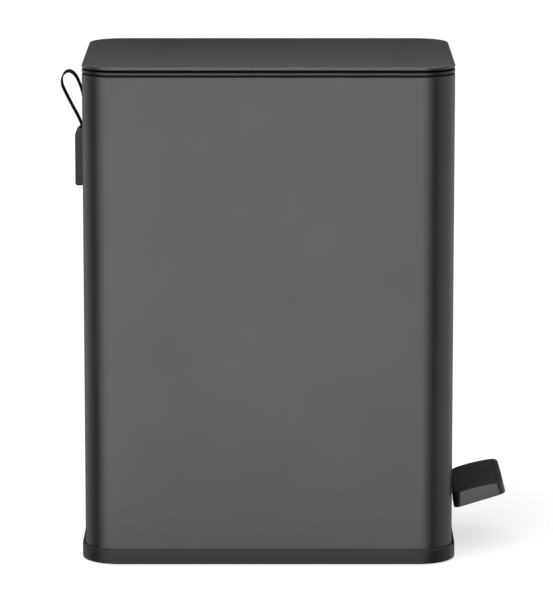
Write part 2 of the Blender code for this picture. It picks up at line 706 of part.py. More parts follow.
def pedal_lever(can):
    """A flat steel bar with a pivot tube: a rear arm to the rod, and a front arm out through the slot."""
    rear_end = (ROD_X - 0.009, PIVOT_Z - (PIVOT_X - ROD_X + 0.009) * tan(HALF_TRAVEL))
    under_pad = PAD_THICK / 2 - PAD_TOP - GAP - LEVER_THICK / 2
    line = (rear_end, (PIVOT_X, PIVOT_Z), pad_point(-0.033, under_pad), pad_point(0.018, under_pad))
    blade = prism("pedal_lever", ribbon(line, LEVER_THICK), "Y", -LEVER_HALF, LEVER_HALF)
    lever = can.add(blade, can.zinc, can.pedal)
    can.join(lever, bar("pivot_tube", (PIVOT_X, 0, PIVOT_Z), "Y", TUBE_RADIUS, -LEVER_HALF, LEVER_HALF, 20))
    can.cut(lever, bar("tube_bore", (PIVOT_X, 0, PIVOT_Z), "Y", TUBE_BORE, -0.02, 0.02, 20))
    can.cut(lever, bar("rod_hole", (ROD_X, 0, LEVER_REAR_Z), "Z", ROD_RADIUS + 0.0011, -0.008, 0.008, 14))
    for number, along in enumerate(PAD_SCREWS):
        x, z = pad_point(along, under_pad)
        can.cut(lever, bar(f"lever_screw_hole_{number}", (x, 0, z), "Z", 0.0022, -0.01, 0.01, 12))


PAD_TOP = 0.0050  # thickness of the pad's upper wall in its middle


def pad_loop(inset, up, taper=0.0):
    """A loop in the pad's own axes. Its inner end stands upright beside the wall when the pad is tilted."""
    upright = (up + PAD_THICK / 2) * tan(PAD_TILT)
    low = (-PAD_LENGTH / 2 + inset + upright, -PAD_WIDTH / 2 + inset)
    high = (PAD_LENGTH / 2 - inset, PAD_WIDTH / 2 - inset)
    outline = box_loop(low, high, PAD_CORNER - inset, up)
    return [(x, y, z - taper * 2 * x / PAD_LENGTH) for x, y, z in outline]


def place_on_pad(piece, can):
    """Turns a piece drawn in the pad's own axes into the pad's place on the pedal."""
    piece.location = Vector((PAD_CENTRE[0], 0, PAD_CENTRE[1])) - can.pedal.location
    piece.rotation_euler = (0, -PAD_TILT, 0)


def pedal_pad(can):
    """The foot pad: a rounded tray, open underneath, with a recess on top for the tread."""
    half = PAD_THICK / 2
    edge = 0.0030
    turns = [radians(22.5 * step) for step in range(5)]
    rounding = [(edge * (1 - cos(a)), half - edge * (1 - sin(a)), PAD_TAPER) for a in turns]
    profile = (
        (0.0032, half - PAD_TOP),
        (0.0026, -half),
        (0.0008, -half),
        (0.0, -half + 0.0008),
        *rounding,
        (0.0052, half, PAD_TAPER),
        (0.0056, half - TREAD_RECESS, PAD_TAPER),
    )
    pad = can.add(loft("pedal_pad", [pad_loop(*p) for p in profile]), can.steel, can.pedal)
    place_on_pad(pad, can)
    # the lever's way in through the inner end of the pad, and the screws' holes in its upper wall
    under = half - PAD_TOP
    mouth_low, mouth_high = (-0.040, -LEVER_HALF - GAP, -0.012), (-0.022, LEVER_HALF + GAP, under - 0.0001)
    cutters = [block("pad_mouth", mouth_low, mouth_high)]
    for number, along in enumerate(PAD_SCREWS):
        pilot = (along, 0, 0)
        cutters.append(bar(f"pad_pilot_{number}", pilot, "Z", SCREW_HOLE, -0.004, under + 0.0018, 12))
    can.cut(pad, *cutters)
    for modifier in pad.modifiers:
        place_on_pad(modifier.object, can)


def pedal_tread(can):
    """The rubber sheet let into the top of the pad."""
    low, high = PAD_THICK / 2 - TREAD_RECESS + GAP, PAD_THICK / 2 + 0.0004
    profile = ((0.0060, low), (0.0060, high - 0.0003), (0.0064, high))
    loops = [pad_loop(inset, up, PAD_TAPER) for inset, up in profile]
    tread = can.add(loft("pedal_tread", loops), can.rubber, can.pedal)
    place_on_pad(tread, can)


def pad_screws(can):
    under = PAD_THICK / 2 - PAD_TOP - LEVER_THICK - 2 * GAP
    for number, along in enumerate(PAD_SCREWS):
        mesh = screw(f"pad_screw_{number + 1}", (along, 0, under), "Z", -1, 0.0050)
        place_on_pad(can.add(mesh, can.zinc, can.pedal), can)


def pedal_bushes(can):
    """Flanged bushes, one in each end of the lever's tube."""
    for side, sign in (("left", 1), ("right", -1)):
        end = sign * (LEVER_HALF + GAP)
        profile = (
            (BUSH_INNER, sign * 0.003),
            (BUSH_OUTER, sign * 0.003),
            (BUSH_OUTER, end),
            (TUBE_RADIUS, end),
            (TUBE_RADIUS, end + sign * 0.0012),
            (BUSH_INNER, end + sign * 0.0012),
        )
        mesh = turned(f"pedal_bush_{side}", (PIVOT_X, 0, PIVOT_Z), "Y", profile, closed=True, steps=20)
        can.add(mesh, can.grey, can.pedal)


EAR_INNER = LEVER_HALF + 0.0020
EAR_THICK = 0.002
PLATE_BOTTOM = FLOOR_TOP + GAP


def pedal_bracket(can):
    """The U-shaped bracket on the base's floor that carries the pedal's axle."""
    plate_top = PLATE_BOTTOM + 0.002
    plate = block("pedal_bracket", (-0.038, -0.034, PLATE_BOTTOM), (-0.002, 0.034, plate_top))
    bracket = can.add(plate, can.zinc)
    ear = [(-0.034, plate_top - 0.001), (-0.006, plate_top - 0.001)]
    for step in range(9):
        angle = radians(20 + 140 * step / 8)
        ear.append((PIVOT_X + 0.008 * cos(angle), PIVOT_Z + 0.008 * sin(angle)))
    for name, start in (("bracket_ear_left", EAR_INNER), ("bracket_ear_right", -EAR_INNER - EAR_THICK)):
        can.join(bracket, prism(name, ear, "Y", start, start + EAR_THICK))
    can.cut(bracket, bar("axle_hole", (PIVOT_X, 0, PIVOT_Z), "Y", AXLE_RADIUS + GAP, -0.03, 0.03, 16))
    for name, x, y in BRACKET_SCREWS:
        can.cut(bracket, bar(f"{name}_plate_hole", (x, y, PLATE_BOTTOM), "Z", SCREW_HOLE, -0.004, 0.006, 12))


def pedal_axle(can):
    """The axle, and the clips in its grooves outside the bracket's ears."""
    clip_at = EAR_INNER + EAR_THICK + GAP
    clip = 0.0008
    end = clip_at + 0.0035
    neck, past_clip = 0.0024, clip_at + clip + GAP
    groove = ((AXLE_RADIUS, clip_at), (neck, clip_at), (neck, past_clip), (AXLE_RADIUS, past_clip))
    half = (*groove, (AXLE_RADIUS, end - 0.0005), (0.0025, end))
    profile = (*((r, -y) for r, y in reversed(half)), *half)
    can.add(turned("pedal_axle", (PIVOT_X, 0, PIVOT_Z), "Y", profile), can.zinc)
    for side, sign in (("left", 1), ("right", -1)):
        near, far = sign * (clip_at + GAP / 2), sign * (clip_at + GAP / 2 + clip)
        ring = ((0.0026, near), (0.0055, near), (0.0055, far), (0.0026, far))
        name = f"axle_clip_{side}"
        washer = can.add(turned(name, (PIVOT_X, 0, PIVOT_Z), "Y", ring, closed=True), can.zinc)
        gap_low = (PIVOT_X - 0.002, min(near, far) - 0.001, PIVOT_Z - 0.008)
        gap_high = (PIVOT_X + 0.002, max(near, far) + 0.001, PIVOT_Z)
        can.cut(washer, block(f"{name}_mouth", gap_low, gap_high))


def mechanism_cover(can):
    """The channel over the lever's front arm, so that the bucket can't foul it."""
    inner, wall, top = 0.0170, 0.0020, 0.0645
    bottom = PLATE_BOTTOM
    flange = 0.016
    outline = (
        (-inner - wall - flange, bottom),
        (-inner, bottom),
        (-inner, top - wall),
        (inner, top - wall),
        (inner, bottom),
        (inner + wall + flange, bottom),
        (inner + wall + flange, bottom + wall),
        (inner + wall, bottom + wall),
        (inner + wall, top),
        (-inner - wall, top),
        (-inner - wall, bottom + wall),
        (-inner - wall - flange, bottom + wall),
    )
    cover = can.add(prism("mechanism_cover", outline, "X", 0.006, 0.188), can.grey)
    for name, x, y in COVER_SCREWS:
        can.cut(cover, bar(f"{name}_flange_hole", (x, y, PLATE_BOTTOM), "Z", SCREW_HOLE, -0.004, 0.006, 12))


BRACKET_SCREWS = (("bracket_screw_left", PIVOT_X, 0.026), ("bracket_screw_right", PIVOT_X, -0.026))
COVER_SCREWS = (("cover_screw_left", 0.100, 0.027), ("cover_screw_right", 0.100, -0.027))


def floor_screw_places():
    return BRACKET_SCREWS + COVER_SCREWS


def floor_screws(can):
    """Screws through the bracket and the cover into the base's floor."""
    for name, x, y in floor_screw_places():
        can.add(screw(name, (x, y, PLATE_BOTTOM + 0.002 + GAP), "Z", 1, 0.0050), can.zinc)


# ---- rod and damper -----------------------------------------------------------------------------------------
DAMPER_X = ROD_X - 0.006
DAMPER_Y = 0.018
CYLINDER_BOTTOM = 0.324
CYLINDER_TOP = 0.380
CYLINDER_RADIUS = 0.0055
YOKE_BOTTOM = 0.398
YOKE_TOP = 0.408
GUIDE_FLANGE = 0.003
LEVER_PLAY = 0.0024  # from the lever's middle to the rings on the rod, so that it can tilt between them


def push_rod(can):
    """A wire from the lever's rear end up to the crank. Its top end turns aside through the crank's slot."""
    bend = 0.0042
    steps = 6
    line = [(0.0, 0.0070)]
    for step in range(steps + 1):
        angle = radians(90 * step / steps)
        line.append((bend * (1 - cos(angle)), ROD_TOP_Z - bend * (1 - sin(angle))))
    line.append((CRANK_HIGH + 0.0036, ROD_TOP_Z))
    loops = []
    for index, (y, z) in enumerate(line):
        before, after = line[max(index - 1, 0)], line[min(index + 1, len(line) - 1)]
        forward = Vector((0, after[0] - before[0], after[1] - before[1])).normalized()
        aside = forward.cross(Vector((1, 0, 0)))
        angles = [2 * pi * step / 12 for step in range(12)]
        middle = Vector((ROD_X, y, z))
        loops.append([middle + ROD_RADIUS * (cos(a) * Vector((1, 0, 0)) + sin(a) * aside) for a in angles])
    can.add(loft("push_rod", loops), can.zinc, can.rod)


def ring(name, centre, axis, low, high, outer):
    """A ring pushed on the rod."""
    inner = ROD_RADIUS + GAP
    profile = ((inner, low), (outer, low), (outer, high), (inner, high))
    return turned(name, centre, axis, profile, closed=True)


def rod_rings(can):
    """The rings that hold the rod in the lever and in the crank."""
    foot, head = (ROD_X, 0, LEVER_REAR_Z), (ROD_X, 0, ROD_TOP_Z)
    can.add(ring("rod_collar", foot, "Z", LEVER_PLAY, LEVER_PLAY + 0.004, 0.0048), can.grey, can.rod)
    can.add(ring("rod_foot_clip", foot, "Z", -LEVER_PLAY - 0.0010, -LEVER_PLAY, 0.0044), can.zinc, can.rod)
    start = CRANK_HIGH + 0.0008
    can.add(ring("rod_head_clip", head, "Y", start, start + 0.0012, 0.0044), can.zinc, can.rod)


def rod_guides(can):
    """Plastic guides on the rear wall that keep the rod upright."""
    for number, (_, z) in enumerate(GUIDE_RIVETS):
        name = f"rod_guide_{number + 1}"
        flange_high = (PLATE_BACK + GUIDE_FLANGE, 0.008, z + 0.018)
        guide = can.add(block(name, (PLATE_BACK, -0.008, z - 0.008), flange_high), can.grey)
        arm_low = (PLATE_BACK + 0.001, -0.0055, z + 0.008)
        can.join(guide, block(f"{name}_arm", arm_low, (ROD_X + 0.006, 0.0055, z + 0.016)))
        can.cut(
            guide,
            bar(f"{name}_bore", (ROD_X, 0, z), "Z", ROD_RADIUS + 0.0004, 0.0, 0.025, 14),
            plate_hole(f"{name}_rivet_hole", 0, z, RIVET_HOLE),
        )


def damper(can):
    """The small air damper that slows the lid, its bracket on the rear wall and its link to the rod."""
    axis = (DAMPER_X, DAMPER_Y, 0)
    bore = CYLINDER_RADIUS - 0.0013
    cup = (
        (bore, CYLINDER_BOTTOM + 0.002),
        (bore, CYLINDER_TOP - 0.004),
        (0.0015 + GAP, CYLINDER_TOP - 0.004),
        (0.0015 + GAP, CYLINDER_TOP),
        (CYLINDER_RADIUS, CYLINDER_TOP),
        (CYLINDER_RADIUS, CYLINDER_BOTTOM),
    )
    can.add(turned("damper_cylinder", axis, "Z", cup), can.black)
    piston_foot = CYLINDER_BOTTOM + 0.005
    piston = (
        (bore - GAP, piston_foot),
        (bore - GAP, piston_foot + 0.004),
        (0.0015, piston_foot + 0.004),
        (0.0015, YOKE_TOP + 0.0015),
    )
    can.add(turned("damper_piston", axis, "Z", piston, steps=12), can.zinc, can.rod)

    low = (PLATE_BACK, DAMPER_Y - 0.007, DAMPER_RIVETS[0][1] - 0.006)
    high = (PLATE_BACK + LEAF, DAMPER_Y + 0.007, DAMPER_RIVETS[1][1] + 0.006)
    bracket = can.add(block("damper_bracket", low, high), can.grey)
    for number, z in enumerate((CYLINDER_BOTTOM + 0.003, CYLINDER_TOP - 0.011)):
        arm_low = (PLATE_BACK + LEAF / 2, DAMPER_Y - 0.0072, z)
        arm_high = (DAMPER_X + CYLINDER_RADIUS + 0.0015, DAMPER_Y + 0.0072, z + 0.008)
        can.join(bracket, block(f"damper_arm_{number}", arm_low, arm_high))
    can.cut(bracket, bar("damper_seat", axis, "Z", CYLINDER_RADIUS + GAP, 0.30, 0.39, 16))
    for number, (y, z) in enumerate(DAMPER_RIVETS):
        can.cut(bracket, plate_hole(f"damper_rivet_hole_{number}", y, z, RIVET_HOLE))

    yoke_low = (DAMPER_X - 0.0045, -0.0050, YOKE_BOTTOM)
    yoke_high = (ROD_X + 0.0050, DAMPER_Y + 0.0045, YOKE_TOP)
    yoke = can.add(block("damper_yoke", yoke_low, yoke_high), can.grey, can.rod)
    can.cut(
        yoke,
        bar("yoke_rod_hole", (ROD_X, 0, YOKE_BOTTOM), "Z", ROD_RADIUS + GAP, -0.005, 0.015, 12),
        bar("yoke_piston_hole", (DAMPER_X, DAMPER_Y, YOKE_BOTTOM), "Z", 0.0015 + GAP, -0.005, 0.015, 12),
    )


def centre_on_origin(can):
    """Moves the can so that the origin is midway between the strap's loop and the pad's outer edge."""
    rear = min(x for x, _ in ribbon(strap_centreline(), STRAP_THICK))
    front = pad_point(PAD_LENGTH / 2, 0.0008 - PAD_THICK / 2)[0]
    can.origin.location.x = -(rear + front) / 2


def build():
    for old in list(bpy.data.objects):
        bpy.data.objects.remove(old, do_unlink=True)
    can = Can()
    for make in (
        body_shell,
        base_tray,
        feet,
        rim_collar,
        lid_bumpers,
        inner_bucket,
        lid_shell,
        lid_liner,
        lid_bracket,
        lid_screws,
        hinge_leaf,
        hinge_pin,
        rivets,
        carry_strap,
        strap_anchor,
        anchor_plate,
        pedal_lever,
        pedal_pad,
        pedal_tread,
        pad_screws,
        pedal_bushes,
        pedal_bracket,
        pedal_axle,
        mechanism_cover,
        floor_screws,
        push_rod,
        rod_rings,
        rod_guides,
        damper,
    ):
        make(can)
    centre_on_origin(can)


build()
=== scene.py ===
"""Looks for the pedal trash can: fine outer pieces, materials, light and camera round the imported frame."""

import json
from math import cos, pi, radians, sin, sqrt, tan

import bmesh
import bpy
from mathutils import Euler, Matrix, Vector


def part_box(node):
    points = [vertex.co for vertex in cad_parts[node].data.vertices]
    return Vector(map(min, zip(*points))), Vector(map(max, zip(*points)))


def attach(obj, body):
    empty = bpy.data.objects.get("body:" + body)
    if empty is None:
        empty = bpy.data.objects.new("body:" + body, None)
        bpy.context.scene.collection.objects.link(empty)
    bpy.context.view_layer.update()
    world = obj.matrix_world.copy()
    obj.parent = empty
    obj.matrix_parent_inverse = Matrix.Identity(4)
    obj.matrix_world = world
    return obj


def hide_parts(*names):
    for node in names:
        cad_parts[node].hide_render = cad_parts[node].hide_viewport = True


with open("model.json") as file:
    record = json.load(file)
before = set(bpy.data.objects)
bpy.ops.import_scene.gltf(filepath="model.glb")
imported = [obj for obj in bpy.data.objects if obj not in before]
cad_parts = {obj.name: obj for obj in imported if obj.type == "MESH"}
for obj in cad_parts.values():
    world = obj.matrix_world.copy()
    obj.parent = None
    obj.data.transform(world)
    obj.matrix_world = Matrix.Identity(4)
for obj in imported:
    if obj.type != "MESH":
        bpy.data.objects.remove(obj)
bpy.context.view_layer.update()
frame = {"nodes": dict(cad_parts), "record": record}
nodes = frame["nodes"]

# ---- measures of the CAD, in metres --------------------------------------------------------------
shell_low, shell_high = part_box("body_shell")
MIDDLE_X = (shell_low[0] + shell_high[0]) / 2
LENGTH = shell_high[0] - shell_low[0]
WIDTH = shell_high[1] - shell_low[1]
RADIUS = 0.037
SHEET = 0.0008
BODY_TOP = shell_high[2]
BODY_BOTTOM = shell_low[2]
WALL_X = -LENGTH / 2
FRONT_X = LENGTH / 2
CORNER_STEPS = 22


# ---- mesh helpers --------------------------------------------------------------------------------
def rounded_rectangle(length, width, radius, steps=CORNER_STEPS, straight=6):
    """Points of a rounded rectangle, counter-clockwise, with extra points along its straight sides."""
    corners = []
    for side_x, side_y, start in ((1, 1, 0), (-1, 1, 90), (-1, -1, 180), (1, -1, 270)):
        middle = (side_x * (length / 2 - radius), side_y * (width / 2 - radius))
        angles = [radians(start + 90 * step / steps) for step in range(steps + 1)]
        corners.append([(middle[0] + radius * cos(a), middle[1] + radius * sin(a)) for a in angles])
    points = []
    for index, corner in enumerate(corners):
        points += corner
        begin, end = corner[-1], corners[(index + 1) % 4][0]
        for step in range(1, straight):
            t = step / straight
            points.append((begin[0] + (end[0] - begin[0]) * t, begin[1] + (end[1] - begin[1]) * t))
    return points


def body_loop(inset, height):
    """The body's outline at a height, moved inwards by an inset."""
    outline = rounded_rectangle(LENGTH - 2 * inset, WIDTH - 2 * inset, max(RADIUS - inset, 0.001))
    return [(MIDDLE_X + x, y, height) for x, y in outline]


def arc(centre, radius, start, end, steps=6):
    """Points of an arc in a profile, between two angles in degrees. Angle 0 points to larger insets."""
    angles = [radians(start + (end - start) * step / steps) for step in range(steps + 1)]
    return [(centre[0] + radius * cos(a), centre[1] + radius * sin(a)) for a in angles]


def loft(name, loops, closed=False, sharp=40):
    """An object through loops of equally many points. A closed one runs back to its first loop."""
    work = bmesh.new()
    rows = [[work.verts.new(point) for point in loop] for loop in loops]
    pairs = list(zip(rows, rows[1:]))
    if closed:
        pairs.append((rows[-1], rows[0]))
    else:
        work.faces.new(rows[0])
        work.faces.new(rows[-1])
    for one, two in pairs:
        for index in range(len(one)):
            after = (index + 1) % len(one)
            work.faces.new((one[index], one[after], two[after], two[index]))
    bmesh.ops.recalc_face_normals(work, faces=work.faces)
    mesh = bpy.data.meshes.new(name)
    work.to_mesh(mesh)
    work.free()
    return show(name, mesh, sharp)


def show(name, mesh, sharp=40):
    mesh.shade_smooth()
    mesh.set_sharp_from_angle(angle=radians(sharp))
    piece = bpy.data.objects.new(name, mesh)
    bpy.context.scene.collection.objects.link(piece)
    return piece


def block(name, low, high):
    outline = ((low[0], low[1]), (high[0], low[1]), (high[0], high[1]), (low[0], high[1]))
    return loft(name, [[(MIDDLE_X + x, y, z) for x, y in outline] for z in (low[2], high[2])])


def cut(piece, *tools):
    """Cuts tools out of a piece and removes them."""
    for tool in tools:
        modifier = piece.modifiers.new("cut", "BOOLEAN")
        modifier.operation = "DIFFERENCE"
        modifier.solver = "EXACT"
        modifier.object = tool
    apply_modifiers(piece)
    for tool in tools:
        bpy.data.objects.remove(tool, do_unlink=True)


def apply_modifiers(piece):
    depsgraph = bpy.context.evaluated_depsgraph_get()
    mesh = bpy.data.meshes.new_from_object(piece.evaluated_get(depsgraph))
    piece.modifiers.clear()
    piece.data = mesh
    mesh.shade_smooth()
    mesh.set_sharp_from_angle(angle=radians(40))


def soften(piece, width, segments=3):
    """Rounds a piece's edges."""
    bevel = piece.modifiers.new("soft_edges", "BEVEL")
    bevel.width = width
    bevel.segments = segments
    bevel.limit_method = "ANGLE"
    bevel.angle_limit = radians(35)
    bevel.harden_normals = True


# ---- materials -----------------------------------------------------------------------------------
class Surface:
    """A procedural material, built up from noise in object coordinates."""

    def __init__(self, name, colour, roughness, metallic=0.0, specular=0.5):
        self.material = bpy.data.materials.new(name)
        self.material.use_nodes = True
        self.tree = self.material.node_tree
        self.shader = self.tree.nodes["Principled BSDF"]
        self.shader.inputs["Base Color"].default_value = (*colour, 1.0)
        self.shader.inputs["Roughness"].default_value = roughness
        self.shader.inputs["Metallic"].default_value = metallic
        self.shader.inputs["Specular IOR Level"].default_value = specular
        self.colour = colour
        self.material.diffuse_color = (*colour, 1.0)
        self.place = self.tree.nodes.new("ShaderNodeTexCoord").outputs["Object"]
        self.bump = None

    def node(self, kind, **inputs):
        node = self.tree.nodes.new(kind)
        for name, value in inputs.items():
            node.inputs[name.replace("_", " ")].default_value = value
        return node

    def link(self, out, into):
        self.tree.links.new(out, into)

    def stretched(self, scale):
        """Object coordinates stretched along each axis."""
        mapping = self.node("ShaderNodeMapping", Scale=scale)
        self.link(self.place, mapping.inputs["Vector"])
        return mapping.outputs["Vector"]

    def noise(self, scale, detail=3.0, roughness=0.55, stretch=None):
        noise = self.node("ShaderNodeTexNoise", Scale=scale, Detail=detail, Roughness=roughness)
        self.link(self.stretched(stretch) if stretch else self.place, noise.inputs["Vector"])
        return noise.outputs["Fac"]

    def spread(self, value, low, high, start=0.3, end=0.7):
        """A value from 0 to 1 mapped to a range."""
        ranged = self.tree.nodes.new("ShaderNodeMapRange")
        self.link(value, ranged.inputs["Value"])
        ranged.inputs["From Min"].default_value = start
        ranged.inputs["From Max"].default_value = end
        ranged.inputs["To Min"].default_value = low
        ranged.inputs["To Max"].default_value = high
        return ranged.outputs["Result"]

    def vary_colour(self, value, darker, lighter):
        """The base colour between two multiples of it."""
        ramp = self.tree.nodes.new("ShaderNodeValToRGB")
        ramp.color_ramp.elements[0].position = 0.3
        ramp.color_ramp.elements[1].position = 0.7
        for element, amount in zip(ramp.color_ramp.elements, (darker, lighter)):
            element.color = (*(channel * amount for channel in self.colour), 1.0)
        self.link(value, ramp.inputs["Fac"])
        self.link(ramp.outputs["Color"], self.shader.inputs["Base Color"])

    def vary_roughness(self, value, low, high):
        self.link(self.spread(value, low, high), self.shader.inputs["Roughness"])

    def raise_by(self, value, distance, strength=1.0):
        """Adds a bump of a depth in metres."""
        bump = self.node("ShaderNodeBump", Strength=strength, Distance=distance)
        self.link(value, bump.inputs["Height"])
        if self.bump:
            self.link(self.bump.outputs["Normal"], bump.inputs["Normal"])
        self.bump = bump
        self.link(bump.outputs["Normal"], self.shader.inputs["Normal"])


def painted_steel():
    """A satin dark grey coating: fine orange peel, faint clouding in tone and sheen."""
    surface = Surface("painted_steel_fine", (0.118, 0.118, 0.119), 0.33, metallic=0.90)
    surface.vary_colour(surface.noise(9.0, 4.0), 0.97, 1.03)
    surface.vary_roughness(surface.noise(14.0, 4.0), 0.31, 0.35)
    surface.raise_by(surface.noise(900.0, 2.0), 0.000012)
    return surface.material


def moulded_plastic(name, colour, roughness, specular=0.4):
    """A moulded plastic with a fine spark-eroded grain."""
    surface = Surface(name, colour, roughness, specular=specular)
    surface.vary_colour(surface.noise(22.0, 4.0), 0.94, 1.06)
    surface.vary_roughness(surface.noise(40.0, 3.0), roughness - 0.04, roughness + 0.04)
    surface.raise_by(surface.noise(2200.0, 2.0), 0.00002, 0.6)
    return surface.material


def soft_rubber():
    surface = Surface("rubber_fine", (0.025, 0.025, 0.025), 0.72, specular=0.3)
    surface.vary_colour(surface.noise(60.0, 4.0), 0.85, 1.15)
    surface.vary_roughness(surface.noise(90.0, 3.0), 0.66, 0.8)
    surface.raise_by(surface.noise(1500.0, 3.0), 0.00003, 0.7)
    return surface.material


def zinc_plate():
    """Zinc-plated steel: drawn lines, a cloudy passivated tone and small scuffs."""
    surface = Surface("zinc_fine", (0.50, 0.50, 0.49), 0.34, metallic=1.0)
    surface.vary_colour(surface.noise(120.0, 5.0), 0.8, 1.1)
    surface.vary_roughness(surface.noise(300.0, 4.0), 0.26, 0.44)
    surface.raise_by(surface.noise(700.0, 3.0, stretch=(1.0, 1.0, 0.08)), 0.00002, 0.6)
    return surface.material


def woven_strap():
    """Woven webbing. Its UV map runs along the strap and across it, in millimetres."""
    surface = Surface("webbing_fine", (0.0035, 0.0035, 0.0037), 0.80, specular=0.12)
    surface.place = surface.tree.nodes.new("ShaderNodeUVMap").outputs["UV"]
    cord = surface.node("ShaderNodeTexWave", Scale=0.30, Distortion=0.4, Detail=1.0)
    cord.bands_direction = "Y"
    surface.link(surface.place, cord.inputs["Vector"])
    pick = surface.node("ShaderNodeTexWave", Scale=0.36, Distortion=0.6, Detail=1.0)
    pick.bands_direction = "DIAGONAL"
    surface.link(surface.place, pick.inputs["Vector"])
    weave = surface.tree.nodes.new("ShaderNodeMath")
    weave.operation = "MULTIPLY"
    surface.link(cord.outputs["Fac"], weave.inputs[0])
    surface.link(pick.outputs["Fac"], weave.inputs[1])
    surface.vary_colour(weave.outputs["Value"], 0.6, 1.9)
    surface.vary_roughness(surface.noise(2.0, 2.0), 0.72, 0.85)
    surface.raise_by(weave.outputs["Value"], 0.00022, 0.9)
    surface.raise_by(surface.noise(6.0, 3.0), 0.00005, 0.5)
    return surface.material


steel = painted_steel()
black = moulded_plastic("black_plastic_fine", (0.016, 0.016, 0.0162), 0.36, 0.56)
rim_plastic = moulded_plastic("rim_plastic_fine", (0.012, 0.012, 0.0122), 0.33, 0.8)
# A darker, duller copy of the black plastic: painted shade, used on the collar's groove and top and on the
# lid's liner.
painted_shade_plastic = moulded_plastic("inside_plastic_fine", (0.008, 0.008, 0.008), 0.55, 0.2)
grey = moulded_plastic("grey_plastic_fine", (0.13, 0.13, 0.135), 0.52)
rubber = soft_rubber()
zinc = zinc_plate()
webbing = woven_strap()
SLOT_MATERIALS = {
    "painted_steel": steel,
    "black_plastic": black,
    "grey_plastic": grey,
    "rubber": rubber,
    "zinc_steel": zinc,
    "webbing": webbing,
}


def place(piece, material, body, slot, *replaced):
    """Gives a piece its material and body, and hides the CAD nodes that it stands for. The slot argument is
    not used.
    """
    piece.data.materials.clear()
    piece.data.materials.append(material)
    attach(piece, body)
    if replaced:
        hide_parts(*replaced)
    return piece


def face_material(piece, material, chosen):
    """Gives a second material to the faces whose centre passes a test."""
    piece.data.materials.append(material)
    last = len(piece.data.materials) - 1
    for face in piece.data.polygons:
        if chosen(face.center):
            face.material_index = last


# ---- outer shells --------------------------------------------------------------------------------
# The slot in the front wall and in the tray, which the pedal's lever passes through.
SLOT_HALF = 0.014
SLOT_TOP = 0.057
SLOT_BOTTOM = 0.0095
# How far a cutting tool reaches past the piece that it cuts.
TOOL_MARGIN = 0.010


def rod_place():
    """The push rod's place along the can, measured from the can's middle."""
    low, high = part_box("push_rod")
    return (low[0] + high[0]) / 2 - MIDDLE_X


def make_body():
    """The steel tube, with a rolled top edge."""
    roll, burr, reach = 0.0009, 0.0002, 0.005
    low_row, middle, high_row = 0.06, 0.25, 0.45
    profile = [(0.0, height) for height in (BODY_BOTTOM, low_row, middle, high_row)]
    profile += [(0.0, BODY_TOP - roll - 3 * burr)]
    profile += arc((roll, BODY_TOP - roll), roll, 180, 90, 5)
    profile += [(SHEET + burr, BODY_TOP), (SHEET, BODY_TOP - 2 * burr), (SHEET, middle), (SHEET, BODY_BOTTOM)]
    shell = loft("body", [body_loop(*p) for p in profile], closed=True)
    cut(shell, block("slot_tool", (FRONT_X - reach, -SLOT_HALF, 0.0), (FRONT_X + reach, SLOT_HALF, SLOT_TOP)))
    place(shell, steel, "can", "painted_steel", "body_shell")


def make_base():
    """The base tray, with soft edges outside and a rib and a floor inside."""
    low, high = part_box("base_tray")
    flare = (high[0] - low[0] - LENGTH) / 2
    bottom, top, floor = low[2], 0.0165, 0.008
    foot, brow = 0.0014, 0.0008
    gap, rib_outer, rib_inner, rib_top = 0.0003, 0.0011, 0.0031, 0.026
    recess, recess_inset, border = 0.005, 0.009, 0.006
    profile = [(recess_inset, recess), (border, bottom)]
    profile += arc((-flare + foot, bottom + foot), foot, 270, 180, 6)
    profile += arc((-flare + brow, top - brow), brow, 180, 90, 5)
    profile += [(-gap, top), (-gap, floor), (rib_outer, floor)]
    profile += [(rib_outer, rib_top), (rib_inner, rib_top), (rib_inner, floor)]
    tray = loft("base", [body_loop(*p) for p in profile])
    slot_low = (FRONT_X - 0.012, -SLOT_HALF, SLOT_BOTTOM)
    slot = block("slot_tool", slot_low, (FRONT_X + TOOL_MARGIN, SLOT_HALF, rib_top + 0.004))
    rod_x, half_well, well_top = rod_place(), 0.009, 0.012
    well = block("well_tool", (rod_x - half_well, -half_well, 0.0), (rod_x + half_well, half_well, well_top))
    cut(tray, slot, well)
    place(tray, black, "can", "black_plastic", "base_tray")


